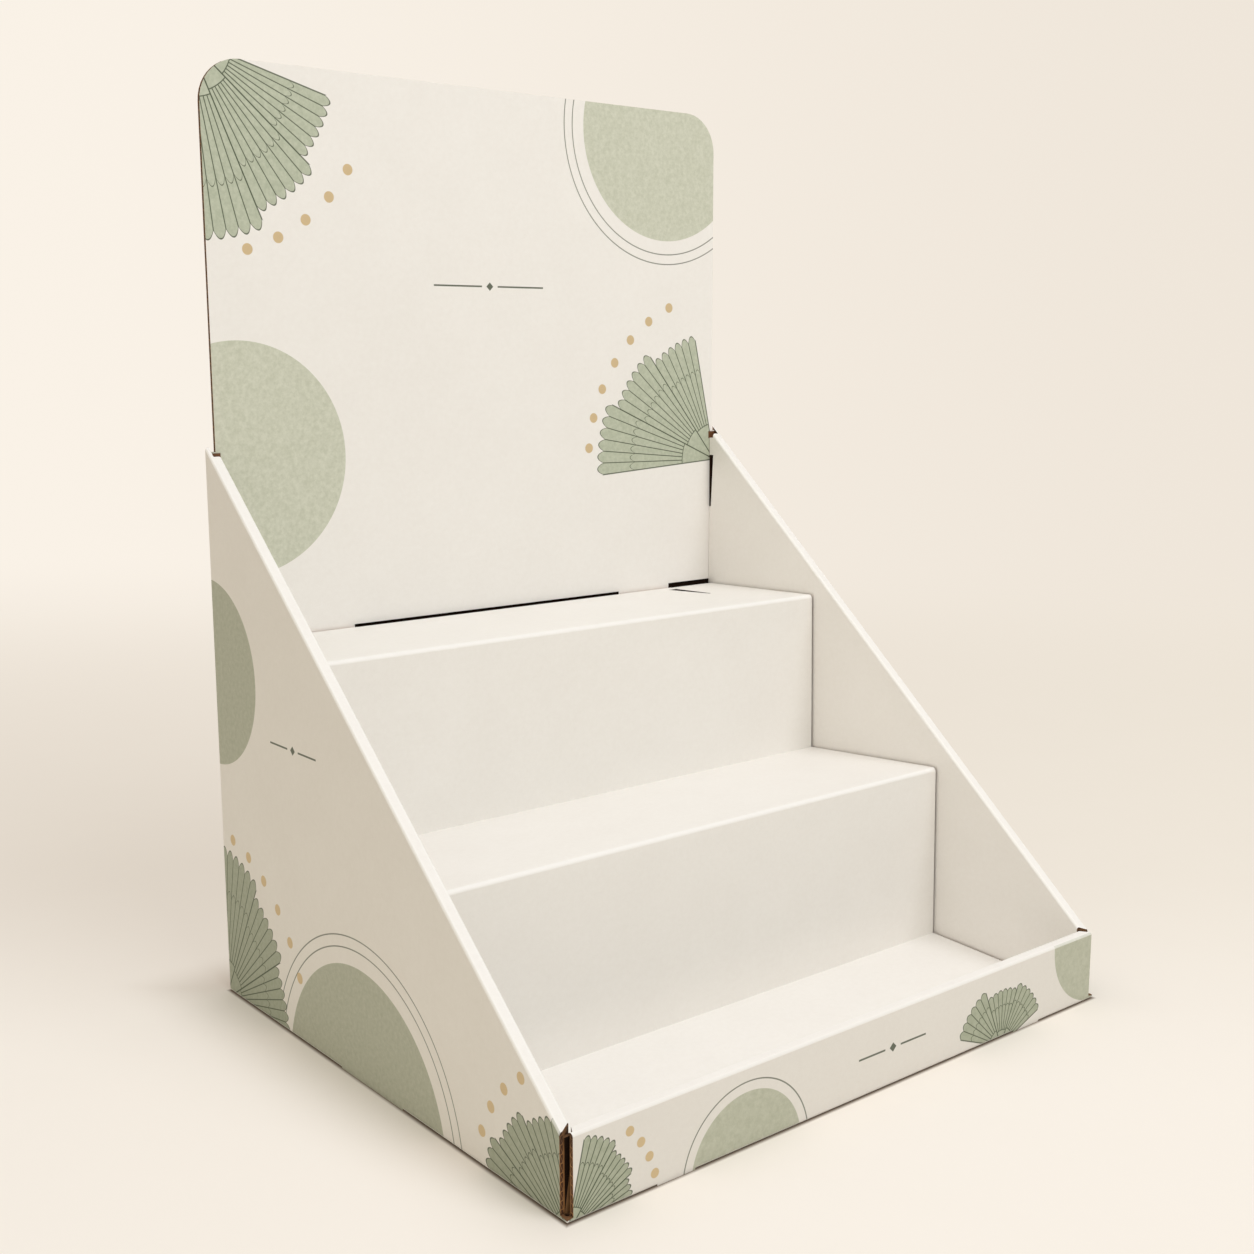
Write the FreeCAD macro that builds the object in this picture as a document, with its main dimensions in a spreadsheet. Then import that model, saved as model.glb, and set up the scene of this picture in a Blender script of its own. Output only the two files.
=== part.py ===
import FreeCAD, Part
import os
import Sketcher

# Counter display stand of white-lined corrugated board, in millimetres.
# X runs across the stand, the front lip faces -Y and Z is up.
# The origin is on the ground, in the middle of the footprint.

driving_sizes = [
    ("overall_width", 300.0),
    ("overall_depth", 258.0),
    ("header_height", 414.0),
    ("board_thickness", 1.7),
    ("fit_gap", 0.15),
    ("fold_radius", 1.2),
    ("step_fold_radius", 2.0),
    ("side_rear_height", 250.0),
    ("side_setback", 4.0),
    ("lip_height", 32.0),
    ("lip_end_gap", 2.7),
    ("corner_gap", 0.6),
    ("relief_radius", 1.0),
    ("rim_rear_gap", 2.8),
    ("joint_notch_top", 234.5),
    ("joint_notch_height", 28.5),
    ("joint_notch_width", 3.0),
    ("joint_notch_foot", 1.3),
    ("side_tab_start", 106.0),
    ("side_tab_length", 48.0),
    ("side_tab_pitch", 88.0),
    ("lip_tab_width", 18.0),
    ("lip_tab_offset", 101.0),
    ("tab_lift", 0.2),
    ("header_inset", 4.0),
    ("header_corner", 19.0),
    ("shoulder_drop", 2.0),
    ("flap_length", 45.0),
    ("flap_clearance", 5.0),
    ("back_tab_width", 30.0),
    ("back_tab_offset", 70.0),
    ("insert_end_gap", 1.0),
    ("insert_front_gap", 0.5),
    ("upper_riser_from_front", 175.0),
    ("upper_tread_front_height", 166.0),
    ("upper_tread_rear_height", 163.3),
    ("lower_riser_from_front", 89.5),
    ("lower_tread_front_height", 91.0),
    ("lower_tread_rear_height", 85.0),
    ("riser_lean", 1.6),
    ("floor_spring", 3.4),
    ("long_slot_length", 160.0),
    ("bridge_length", 35.0),
    ("slot_width", 2.3),
    ("slot_depth", 7.0),
    ("slit_offset", 108.5),
    ("slit_rear_margin", 9.0),
    ("slit_length", 27.5),
    ("slit_skew", 4.0),
    ("slit_width", 4.0),
    ("slit_tip_width", 0.4),
    ("window_depth", 1.3),
    ("window_drop", 1.8),
    ("long_window_rise", 1.1),
    ("end_window_rise", 2.3),
]

document = FreeCAD.newDocument("display_stand")
sheet = document.addObject("Spreadsheet::Sheet", "Sizes")
for row, (alias, size) in enumerate(driving_sizes, start=1):
    sheet.set("A%d" % row, alias)
    sheet.set("B%d" % row, str(size))
    sheet.setAlias("B%d" % row, alias)
document.recompute()

tabs_per_side = 2

# Lengths that several pieces share, as expressions on the sheet.
board = "Sizes.board_thickness"
gap = "Sizes.fit_gap"
half_width = "(Sizes.overall_width / 2)"
half_depth = "(Sizes.overall_depth / 2)"
front = "(-Sizes.overall_depth / 2)"
rim = "(3 * Sizes.board_thickness + 2 * Sizes.fit_gap)"
reach = "(2 * Sizes.board_thickness)"
side_front = "(Sizes.side_setback - Sizes.overall_depth / 2)"
back_face = "(Sizes.overall_depth / 2 - Sizes.board_thickness)"
on_base = "(Sizes.board_thickness + Sizes.fit_gap)"
rim_slope = (
    "((Sizes.side_rear_height - Sizes.lip_height)"
    " / (Sizes.overall_depth - Sizes.side_setback))"
)
rim_drop = "(Sizes.board_thickness * sqrt(1 + " + rim_slope + " ^ 2))"


def number(expression):
    """Number that an expression on the sheet gives now."""
    result = sheet.evalExpression(expression)
    return float(getattr(result, "Value", result))


def minus(first, second):
    return "(" + first + " - " + second + ")"


def plus(first, second):
    return "(" + first + " + " + second + ")"


def signed(side, expression):
    """The same length on the right, side 1, or mirrored to the left, side -1."""
    return expression if side > 0 else "(-" + expression + ")"


def mirrored(corners):
    """Outline on the right and its mirror image on the left."""
    return [[(signed(side, first), second) for first, second in corners] for side in (1, -1)]


def rim_top(along):
    """Height of the side wall's sloped top at a place along Y."""
    return "(Sizes.lip_height + (" + along + " - " + side_front + ") * " + rim_slope + ")"


def box_corners(low_first, high_first, low_second, high_second):
    return [
        (low_first, low_second),
        (high_first, low_second),
        (high_first, high_second),
        (low_first, high_second),
    ]


def make_body(name):
    body = document.addObject("PartDesign::Body", name)
    body.Label = name
    return body


def place_sketch(body, name, role, centre):
    """Sketch parallel to an origin plane of the body, moved out to a centre plane."""
    plane = [item for item in body.Origin.OriginFeatures if item.Role == role][0]
    sketch = body.newObject("Sketcher::SketchObject", name)
    sketch.AttachmentSupport = [(plane, "")]
    sketch.MapMode = "FlatFace"
    # The XZ plane's own normal points along -Y.
    offset = "(-" + centre + ")" if role == "XZ_Plane" else centre
    sketch.setExpression("AttachmentOffset.Base.z", offset)
    return sketch


def hold_point(sketch, shape, mark, first, second):
    """Holds a point of the sketch at two sizes from its origin."""
    for kind, expression in (("DistanceX", first), ("DistanceY", second)):
        rule = Sketcher.Constraint(kind, -1, 1, shape, mark, number(expression))
        place = sketch.addConstraint(rule)
        sketch.setExpression("Constraints[%d]" % place, expression)


def draw_outline(sketch, corners):
    """Closed outline of straight lines, each corner held by two sizes."""
    spots = [FreeCAD.Vector(number(first), number(second), 0) for first, second in corners]
    count = len(spots)
    start = sketch.GeometryCount
    for index in range(count):
        sketch.addGeometry(Part.LineSegment(spots[index], spots[(index + 1) % count]), False)
    for index in range(count):
        following = start + (index + 1) % count
        sketch.addConstraint(Sketcher.Constraint("Coincident", start + index, 2, following, 1))
    for index, (first, second) in enumerate(corners):
        hold_point(sketch, start + index, 1, first, second)


def finish_slab(body, kind, name, sketch, thickness):
    """Pad or pocket of a sketch, half its thickness to each side of it."""
    before = body.Shape.Volume if body.Tip else 0.0
    feature = body.newObject(kind, name)
    feature.Profile = sketch
    feature.SideType = "Symmetric"
    feature.Length = number(thickness)
    feature.setExpression("Length", thickness)
    document.recompute()
    after = body.Shape.Volume
    grew = kind == "PartDesign::Pad"
    if (after > before) != grew or abs(after - before) < 1e-6:
        raise RuntimeError(name + " changes nothing")


def add_slab(body, name, role, outlines, centre, thickness):
    sketch = place_sketch(body, name + "_outline", role, centre)
    for corners in outlines:
        draw_outline(sketch, corners)
    finish_slab(body, "PartDesign::Pad", name, sketch, thickness)


def cut_slab(body, name, role, outlines, centre, thickness):
    sketch = place_sketch(body, name + "_outline", role, centre)
    for corners in outlines:
        draw_outline(sketch, corners)
    finish_slab(body, "PartDesign::Pocket", name, sketch, thickness)


def round_edges(body, name, lines, radius):
    """Rounds each straight edge of the body whose two ends lie on one of the lines."""
    chosen = []
    for index, edge in enumerate(body.Shape.Edges, start=1):
        ends = [corner.Point for corner in edge.Vertexes]
        if len(ends) == 2 and any(all(line(end) for end in ends) for line in lines):
            chosen.append("Edge%d" % index)
    if not chosen:
        raise RuntimeError(name + " finds no edge")
    solid = body.Tip
    feature = body.newObject("PartDesign::Fillet", name)
    feature.Base = (solid, chosen)
    feature.Radius = number(radius)
    feature.setExpression("Radius", radius)
    document.recompute()
    if feature.Shape.isNull() or not feature.Shape.Volume < solid.Shape.Volume:
        raise RuntimeError(name + " rounds nothing")


def near(first, second):
    return abs(first - second) < 1e-4


def add_side_wall(body, side):
    """Double side wall: outer panel, sloped rim and inner panel folded down inside."""
    word = "right" if side > 0 else "left"
    centre = signed(side, minus(half_width, rim + " / 2"))
    profile = [
        (side_front, "0"),
        (half_depth, "0"),
        (half_depth, "Sizes.side_rear_height"),
        (side_front, "Sizes.lip_height"),
    ]
    add_slab(body, word + "_wall", "YZ_Plane", [profile], centre, rim)

    past_rear = plus(half_depth, reach)
    hollow = [
        (front, board),
        (past_rear, board),
        (past_rear, minus(rim_top(past_rear), rim_drop)),
        (front, minus(rim_top(front), rim_drop)),
    ]
    hollow_width = minus(rim, "2 * " + board)
    cut_slab(body, word + "_wall_hollow", "YZ_Plane", [hollow], centre, hollow_width)

    rim_end = minus(back_face, "Sizes.rim_rear_gap")
    rim_end_low = minus(rim_top(rim_end), rim_drop)
    rim_cut = box_corners(rim_end, past_rear, rim_end_low, "2 * Sizes.side_rear_height")
    folded_centre = signed(side, minus(half_width, plus(rim, board) + " / 2"))
    cut_slab(body, word + "_rim_end", "YZ_Plane", [rim_cut], folded_centre, minus(rim, board))

    rear_end = minus(back_face, gap)
    notch_low = "(Sizes.joint_notch_top - Sizes.joint_notch_height)"
    notch = [
        (minus(rear_end, "Sizes.joint_notch_foot"), notch_low),
        (half_depth, notch_low),
        (half_depth, "Sizes.joint_notch_top"),
        (minus(rear_end, "Sizes.joint_notch_width"), "Sizes.joint_notch_top"),
    ]
    inner_centre = signed(side, minus(half_width, minus(rim, board + " / 2")))
    cut_slab(body, word + "_joint_notch", "YZ_Plane", [notch], inner_centre, plus(board, gap))


def trim_side_walls(body):
    """Ends the rims and inner panels short of the lip, the back panel and the base."""
    outer = minus(half_width, board)
    inner = minus(half_width, rim)
    clear = minus(inner, reach)
    mitre_rear = plus(plus(front, rim), "Sizes.corner_gap")
    before_wall = minus(side_front, reach)
    mitre = [
        (outer, side_front),
        (inner, mitre_rear),
        (clear, mitre_rear),
        (clear, before_wall),
        (outer, before_wall),
    ]
    cut_slab(
        body, "front_mitres", "XY_Plane", mirrored(mitre),
        plus(board, "Sizes.lip_height"), "2 * Sizes.lip_height",
    )
    rear_end = box_corners(clear, outer, minus(back_face, gap), plus(half_depth, reach))
    cut_slab(
        body, "rear_ends", "XY_Plane", mirrored(rear_end),
        plus(board, "Sizes.side_rear_height"), "2 * Sizes.side_rear_height",
    )

    # The lip's ears pass in front of the inner panels, inside the hollow walls.
    ear_room = box_corners(clear, outer, before_wall, plus(plus(front, rim), gap))
    ear_room_top = minus("Sizes.lip_height", rim_drop)
    cut_slab(
        body, "ear_room", "XY_Plane", mirrored(ear_room),
        plus(board, ear_room_top) + " / 2", minus(ear_room_top, board),
    )
    foot = box_corners(inner, minus(half_width, minus(rim, board)), front, half_depth)
    cut_slab(body, "inner_feet", "XY_Plane", mirrored(foot), plus(board, gap + " / 2"), gap)


def side_tab_start(index):
    return "(%s + Sizes.side_tab_start + %d * Sizes.side_tab_pitch)" % (front, index)


def add_side_tabs(body):
    """Tabs at each inner panel's foot, each in a slot through the base."""
    inner = minus(half_width, rim)
    slots = []
    tabs = []
    for index in range(tabs_per_side):
        start = side_tab_start(index)
        stop = plus(start, "Sizes.side_tab_length")
        slots += mirrored(box_corners(
            minus(inner, gap), plus(plus(inner, board), gap), minus(start, gap), plus(stop, gap)
        ))
        tabs += mirrored(box_corners(inner, plus(inner, board), start, stop))
    cut_slab(body, "side_slots", "XY_Plane", slots, board + " / 2", board)
    tab_middle = "((Sizes.tab_lift + " + reach + ") / 2)"
    add_slab(body, "side_tabs", "XY_Plane", tabs, tab_middle, minus(reach, "Sizes.tab_lift"))


def lip_tab_span():
    """Where a lip tab starts and stops along X, on the right."""
    start = "(Sizes.lip_tab_offset - Sizes.lip_tab_width / 2)"
    stop = "(Sizes.lip_tab_offset + Sizes.lip_tab_width / 2)"
    return start, stop


def add_front_lip(body):
    """Front lip rolled over to the inside: outer panel, flat top and eared inner panel."""
    outer_end = minus(half_width, "Sizes.lip_end_gap")
    inner_end = minus(minus(half_width, rim), "Sizes.corner_gap")
    lip_rear = plus(front, rim)
    outer = box_corners("(-" + outer_end + ")", outer_end, "0", "Sizes.lip_height")
    add_slab(body, "lip_outer", "XZ_Plane", [outer], plus(front, board + " / 2"), board)
    top = [
        ("(-" + outer_end + ")", front),
        (outer_end, front),
        (inner_end, lip_rear),
        ("(-" + inner_end + ")", lip_rear),
    ]
    top_middle = minus("Sizes.lip_height", board + " / 2")
    add_slab(body, "lip_top", "XY_Plane", [top], top_middle, board)

    start, stop = lip_tab_span()
    slot_front = minus(minus(lip_rear, board), gap)
    slot = box_corners(minus(start, gap), plus(stop, gap), slot_front, plus(lip_rear, gap))
    cut_slab(body, "lip_slots", "XY_Plane", mirrored(slot), board + " / 2", board)
    inner = [
        ("(-" + inner_end + ")", "Sizes.lip_height"),
        ("(-" + inner_end + ")", on_base),
        ("(-" + stop + ")", on_base),
        ("(-" + stop + ")", "Sizes.tab_lift"),
        ("(-" + start + ")", "Sizes.tab_lift"),
        ("(-" + start + ")", on_base),
        (start, on_base),
        (start, "Sizes.tab_lift"),
        (stop, "Sizes.tab_lift"),
        (stop, on_base),
        (inner_end, on_base),
        (inner_end, "Sizes.lip_height"),
    ]
    inner_centre = minus(lip_rear, board + " / 2")
    add_slab(body, "lip_inner", "XZ_Plane", [inner], inner_centre, board)

    ear_end = minus(minus(half_width, board), gap)
    ear_top = minus(minus("Sizes.lip_height", rim_drop), gap)
    ear = box_corners(inner_end, ear_end, on_base, ear_top)
    add_slab(body, "lip_ears", "XZ_Plane", mirrored(ear), inner_centre, board)


def cut_base_holes(body):
    """Round reliefs at the base's front corners and notches for the back panel's tabs."""
    across = minus(half_width, "(Sizes.board_thickness + Sizes.lip_end_gap) / 2")
    along = plus(front, "(Sizes.board_thickness + Sizes.side_setback) / 2")
    sketch = place_sketch(body, "reliefs_outline", "XY_Plane", board + " / 2")
    for index, side in enumerate((1, -1)):
        spot = FreeCAD.Vector(number(signed(side, across)), number(along), 0)
        radius = number("Sizes.relief_radius")
        sketch.addGeometry(Part.Circle(spot, FreeCAD.Vector(0, 0, 1), radius), False)
        hold_point(sketch, index, 3, signed(side, across), along)
        place = sketch.addConstraint(Sketcher.Constraint("Radius", index, radius))
        sketch.setExpression("Constraints[%d]" % place, "Sizes.relief_radius")
    finish_slab(body, "PartDesign::Pocket", "reliefs", sketch, board)

    start, stop = back_tab_span()
    notch = box_corners(
        minus(start, gap), plus(stop, gap), minus(back_face, gap), plus(half_depth, reach)
    )
    cut_slab(body, "back_notches", "XY_Plane", mirrored(notch), board + " / 2", board)


def fold_line(role, first, second):
    """Test for a point on a line that runs across an origin plane at two sizes."""
    axes = {"YZ_Plane": (1, 2), "XZ_Plane": (0, 2), "XY_Plane": (0, 1)}[role]
    places = (number(first), number(second))
    return lambda point: all(near(point[axis], place) for axis, place in zip(axes, places))


def rim_line(across):
    """Test for a point on the side wall's sloped top, at a place along X."""
    place = number(across)
    base_height = number("Sizes.lip_height")
    start = number(side_front)
    slope = number(rim_slope)
    return lambda point: near(point.x, place) and near(point.z, base_height + (point.y - start) * slope)


def round_tray_folds(body):
    """Soft outer radius of each fold that shows."""
    lip_rear = plus(front, rim)
    base_lines = [fold_line("YZ_Plane", front, "0")]
    rim_lines = []
    for side in (-1, 1):
        base_lines.append(fold_line("XZ_Plane", signed(side, half_width), "0"))
        rim_lines.append(rim_line(signed(side, half_width)))
        rim_lines.append(rim_line(signed(side, minus(half_width, rim))))
    lip_lines = [
        fold_line("YZ_Plane", front, "Sizes.lip_height"),
        fold_line("YZ_Plane", lip_rear, "Sizes.lip_height"),
    ]
    round_edges(body, "base_folds", base_lines, "Sizes.fold_radius")
    round_edges(body, "rim_folds", rim_lines, "Sizes.fold_radius")
    round_edges(body, "lip_folds", lip_lines, "Sizes.fold_radius")


def square_tab_folds(body):
    """Beside the first locking slots the base's folds are cut, so their edge stays square."""
    side_start = side_tab_start(0)
    side_stop = plus(side_start, "Sizes.side_tab_length")
    side_lug = box_corners(minus(half_width, board), half_width, side_start, side_stop)
    lip_start, lip_stop = lip_tab_span()
    lip_lug = box_corners(lip_start, lip_stop, front, plus(front, board))
    lugs = mirrored(side_lug) + mirrored(lip_lug)
    add_slab(body, "fold_lugs", "XY_Plane", lugs, board + " / 2", board)


def make_tray():
    """Tray folded from one sheet: base, two double side walls and a rolled front lip."""
    body = make_body("tray")
    base = box_corners("(-" + half_width + ")", half_width, front, half_depth)
    add_slab(body, "base", "XY_Plane", [base], board + " / 2", board)
    for side in (-1, 1):
        add_side_wall(body, side)
    trim_side_walls(body)
    add_side_tabs(body)
    add_front_lip(body)
    round_tray_folds(body)
    square_tab_folds(body)
    cut_base_holes(body)
    return body


def back_tab_span():
    """Where a back panel's tab starts and stops along X, on the right."""
    start = "(Sizes.back_tab_offset - Sizes.back_tab_width / 2)"
    stop = "(Sizes.back_tab_offset + Sizes.back_tab_width / 2)"
    return start, stop


def cut_windows(body):
    """Blind cuts in the panel's front where the fold behind the upper tread is slotted."""
    low = minus("Sizes.upper_tread_rear_height", "Sizes.window_drop")
    high = "(Sizes.upper_tread_rear_height + Sizes.%s)"
    half_slot = "(Sizes.long_slot_length / 2)"
    centre = plus(back_face, "Sizes.window_depth / 2")
    long_window = box_corners("(-" + half_slot + ")", half_slot, low, high % "long_window_rise")
    end_window = box_corners(
        plus(half_slot, "Sizes.bridge_length"), minus(half_width, rim), low, high % "end_window_rise"
    )
    windows = [long_window] + mirrored(end_window)
    cut_slab(body, "fold_windows", "XZ_Plane", windows, centre, "Sizes.window_depth")


def make_back_panel():
    """Back panel and header from one sheet, with a side flap folded into each side wall."""
    body = make_body("back_panel")
    panel_end = minus(minus(half_width, board), gap)
    header_end = minus(half_width, "Sizes.header_inset")
    shoulder = "(Sizes.side_rear_height - Sizes.shoulder_drop)"
    panel_centre = minus(half_depth, board + " / 2")
    start, stop = back_tab_span()
    right_edge = [
        (start, on_base),
        (start, "Sizes.tab_lift"),
        (stop, "Sizes.tab_lift"),
        (stop, on_base),
        (panel_end, on_base),
        (panel_end, shoulder),
        (header_end, shoulder),
        (header_end, "Sizes.header_height"),
    ]
    left_edge = [("(-" + across + ")", height) for across, height in reversed(right_edge)]
    add_slab(body, "panel", "XZ_Plane", [right_edge + left_edge], panel_centre, board)

    cut_windows(body)

    flap_front = minus(half_depth, "Sizes.flap_length")
    flap_top = minus(rim_top(flap_front), plus(rim_drop, "Sizes.flap_clearance"))
    flap = box_corners(flap_front, half_depth, on_base, flap_top)
    for side, word in ((-1, "left"), (1, "right")):
        flap_centre = signed(side, minus(panel_end, board + " / 2"))
        add_slab(body, word + "_flap", "YZ_Plane", [flap], flap_centre, board)

    flap_lines = []
    corner_lines = []
    for side in (-1, 1):
        flap_lines.append(fold_line("XY_Plane", signed(side, panel_end), half_depth))
        corner_lines.append(fold_line("XZ_Plane", signed(side, header_end), "Sizes.header_height"))
    round_edges(body, "flap_folds", flap_lines, "Sizes.fold_radius")
    round_edges(body, "header_corners", corner_lines, "Sizes.header_corner")
    return body


def make_step_insert():
    """Two steps and a floor panel folded from one strip, with a leg down its rear."""
    body = make_body("step_insert")
    leg_rear = minus(back_face, gap)
    leg_front = minus(leg_rear, board)
    upper_riser = plus(front, "Sizes.upper_riser_from_front")
    upper_foot = minus(upper_riser, "Sizes.riser_lean")
    lower_riser = plus(front, "Sizes.lower_riser_from_front")
    lower_foot = minus(lower_riser, "Sizes.riser_lean")
    floor_front = plus(plus(front, rim), "Sizes.insert_front_gap")
    floor_top = plus(on_base, board)
    sprung_floor_top = plus(floor_top, "Sizes.floor_spring")
    upper_rear = "Sizes.upper_tread_rear_height"
    upper_front = "Sizes.upper_tread_front_height"
    lower_rear = "Sizes.lower_tread_rear_height"
    lower_front = "Sizes.lower_tread_front_height"
    profile = [
        (leg_rear, on_base),
        (leg_rear, upper_rear),
        (upper_riser, upper_front),
        (upper_foot, lower_rear),
        (lower_riser, lower_front),
        (lower_foot, sprung_floor_top),
        (floor_front, floor_top),
        (floor_front, on_base),
        (plus(lower_foot, board), minus(sprung_floor_top, board)),
        (plus(lower_riser, board), minus(lower_front, board)),
        (plus(upper_foot, board), minus(lower_rear, board)),
        (plus(upper_riser, board), minus(upper_front, board)),
        (leg_front, minus(upper_rear, board)),
        (leg_front, on_base),
    ]
    insert_end = minus(minus(half_width, rim), "Sizes.insert_end_gap")
    add_slab(body, "steps", "YZ_Plane", [profile], "0", "2 * " + insert_end)

    folds = [
        (leg_rear, upper_rear),
        (upper_riser, upper_front),
        (lower_riser, lower_front),
        (plus(upper_foot, board), minus(lower_rear, board)),
        (plus(lower_foot, board), minus(sprung_floor_top, board)),
    ]
    fold_lines = [fold_line("YZ_Plane", along, height) for along, height in folds]
    round_edges(body, "step_folds", fold_lines, "Sizes.step_fold_radius")

    slot_front = minus(leg_rear, "Sizes.slot_width")
    slot_rear = plus(leg_rear, reach)
    half_slot = "(Sizes.long_slot_length / 2)"
    long_slot = box_corners("(-" + half_slot + ")", half_slot, slot_front, slot_rear)
    end_slot = box_corners(
        plus(half_slot, "Sizes.bridge_length"), plus(insert_end, reach), slot_front, slot_rear
    )
    cut_slab(
        body, "rear_slots", "XY_Plane", [long_slot] + mirrored(end_slot),
        upper_rear, "2 * Sizes.slot_depth",
    )

    slit_rear = minus(leg_rear, "Sizes.slit_rear_margin")
    slit_front = minus(slit_rear, "Sizes.slit_length")
    slit_skewed = plus("Sizes.slit_offset", "Sizes.slit_skew")
    slit = [
        ("Sizes.slit_offset", slit_rear),
        (plus("Sizes.slit_offset", "Sizes.slit_width"), slit_rear),
        (plus(slit_skewed, "Sizes.slit_tip_width"), slit_front),
        (slit_skewed, slit_front),
    ]
    cut_slab(body, "tread_slit", "XY_Plane", [slit], upper_rear, "2 * Sizes.slot_depth")
    return body


def check_model(pieces):
    """Stops unless every object computed and every piece is one valid solid."""
    for item in document.Objects:
        if "Invalid" in item.State or "Error" in item.State:
            raise RuntimeError("%s failed: %s" % (item.Name, item.State))
    for piece in pieces:
        shape = piece.Shape
        if shape.isNull() or not shape.isValid() or len(shape.Solids) != 1:
            raise RuntimeError(piece.Label + " is not one valid solid")
        limits = shape.BoundBox
        print(
            "%s: volume %.0f, x %.2f to %.2f, y %.2f to %.2f, z %.2f to %.2f" % (
                piece.Label, shape.Volume, limits.XMin, limits.XMax,
                limits.YMin, limits.YMax, limits.ZMin, limits.ZMax,
            )
        )


pieces = [make_tray(), make_back_panel(), make_step_insert()]
document.recompute()
check_model(pieces)
os.makedirs("parts", exist_ok=True)
for piece in pieces:
    piece.Shape.exportStep("parts/%s.step" % piece.Label)
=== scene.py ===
import math

import bmesh
import bpy
from mathutils import Euler, Matrix, Vector


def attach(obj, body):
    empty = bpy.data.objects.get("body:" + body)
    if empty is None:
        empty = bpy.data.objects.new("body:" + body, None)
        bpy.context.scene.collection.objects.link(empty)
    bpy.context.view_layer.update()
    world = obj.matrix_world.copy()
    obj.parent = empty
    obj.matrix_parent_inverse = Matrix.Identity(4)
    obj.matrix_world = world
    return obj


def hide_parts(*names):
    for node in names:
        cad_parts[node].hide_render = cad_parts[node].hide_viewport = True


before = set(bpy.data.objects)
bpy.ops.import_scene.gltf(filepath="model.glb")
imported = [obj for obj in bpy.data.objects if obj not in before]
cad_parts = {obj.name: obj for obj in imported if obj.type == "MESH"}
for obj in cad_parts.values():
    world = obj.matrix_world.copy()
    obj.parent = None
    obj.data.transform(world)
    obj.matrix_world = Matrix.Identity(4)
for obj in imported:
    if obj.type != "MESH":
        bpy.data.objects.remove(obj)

mm = 0.001
perMetre = 1000
scene = bpy.context.scene
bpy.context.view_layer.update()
print("frame loaded:", ", ".join(sorted(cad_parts)))


# camera at the photograph's viewing angle

view = {
    "place": (-0.44545, -0.52362, 0.29178),
    "pitch": 80.056,
    "turn": -39.214,
    "roll": -0.089,
    "lens": 45.43,
    "sensor": 36.0,
    "nearest": 0.01,
    "farthest": 50,
}


def makeCamera():
    data = bpy.data.cameras.new("photoCamera")
    data.lens = view["lens"]
    data.sensor_width = view["sensor"]
    data.clip_start = view["nearest"]
    data.clip_end = view["farthest"]
    camera = bpy.data.objects.new("photoCamera", data)
    scene.collection.objects.link(camera)
    aim = Euler((math.radians(view["pitch"]), 0, math.radians(view["turn"]))).to_matrix()
    aim = aim @ Matrix.Rotation(math.radians(view["roll"]), 3, "Z")
    camera.matrix_world = Matrix.Translation(view["place"]) @ aim.to_4x4()
    scene.camera = camera


makeCamera()
print("camera placed")


# shader maths, written as plain expressions

class Wire:  # one socket of a node tree
    def __init__(self, tree, socket):
        self.tree = tree
        self.socket = socket

    def make(self, kind, settings=None, inputs=None, out=0):
        node = self.tree.nodes.new(kind)
        for name, value in (settings or {}).items():
            setattr(node, name, value)
        for key, value in (inputs or {}).items():
            if isinstance(value, Wire):
                self.tree.links.new(value.socket, node.inputs[key])
            else:
                node.inputs[key].default_value = value
        return Wire(self.tree, node.outputs[out])

    def maths(self, operation, *values):
        return self.make("ShaderNodeMath", {"operation": operation}, dict(enumerate(values)))

    def __add__(self, other):
        return self.maths("ADD", self, other)

    def __radd__(self, other):
        return self.maths("ADD", other, self)

    def __sub__(self, other):
        return self.maths("SUBTRACT", self, other)

    def __rsub__(self, other):
        return self.maths("SUBTRACT", other, self)

    def __mul__(self, other):
        return self.maths("MULTIPLY", self, other)

    def __rmul__(self, other):
        return self.maths("MULTIPLY", other, self)

    def __truediv__(self, other):
        return self.maths("DIVIDE", self, other)

    def __rtruediv__(self, other):
        return self.maths("DIVIDE", other, self)

    def __abs__(self):
        return self.maths("ABSOLUTE", self)

    def __or__(self, other):  # union of two masks
        return self.maths("MAXIMUM", self, other)

    def sine(self):
        return self.maths("SINE", self)

    def root(self):
        return self.maths("SQRT", self)

    def ease(self, low, high, start=0.0, end=1.0):  # from start at the low end to end, smoothly
        ends = {"Value": self, "From Min": low, "From Max": high, "To Min": start, "To Max": end}
        return self.make("ShaderNodeMapRange", {"interpolation_type": "SMOOTHSTEP"}, ends)

    def below(self, limit, soft=0.12):  # 1 under the limit, 0 over it, with a soft edge
        return self.ease(limit - soft, limit + soft, 1.0, 0.0)

    def above(self, limit, soft=0.12):
        return 1 - self.below(limit, soft)

    def band(self, middle, width, soft=0.12):  # a line of that width
        return abs(self - middle).below(width / 2, soft)

    def noise(self, scale, detail=3.0, roughness=0.55, stretch=None):
        place = self
        if stretch:
            place = self.multiply(stretch)
        return self.make("ShaderNodeTexNoise", {"noise_dimensions": "3D"},
                         {"Vector": place, "Scale": scale, "Detail": detail, "Roughness": roughness})

    def tint(self, first, second):  # colour mix, this socket as the factor
        return self.make("ShaderNodeMix", {"data_type": "RGBA"}, {0: self, 6: first, 7: second}, out=2)

    def grey(self):  # a number as an even colour
        return self.make("ShaderNodeCombineXYZ", None, {0: self, 1: self, 2: self})

    def multiply(self, colour):
        return self.make("ShaderNodeVectorMath", {"operation": "MULTIPLY"}, {0: self, 1: colour})

    def scaled(self, factor):  # this vector, longer or shorter by a factor
        return self.make("ShaderNodeVectorMath", {"operation": "SCALE"}, {0: self, "Scale": factor})

    def alongAxis(self, axis):
        return self.make("ShaderNodeVectorMath", {"operation": "DOT_PRODUCT"}, {0: self, 1: axis}, out=1)

    def bump(self, strength, distance):
        return self.make("ShaderNodeBump", None,
                         {"Strength": strength, "Distance": distance, "Height": self})


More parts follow.
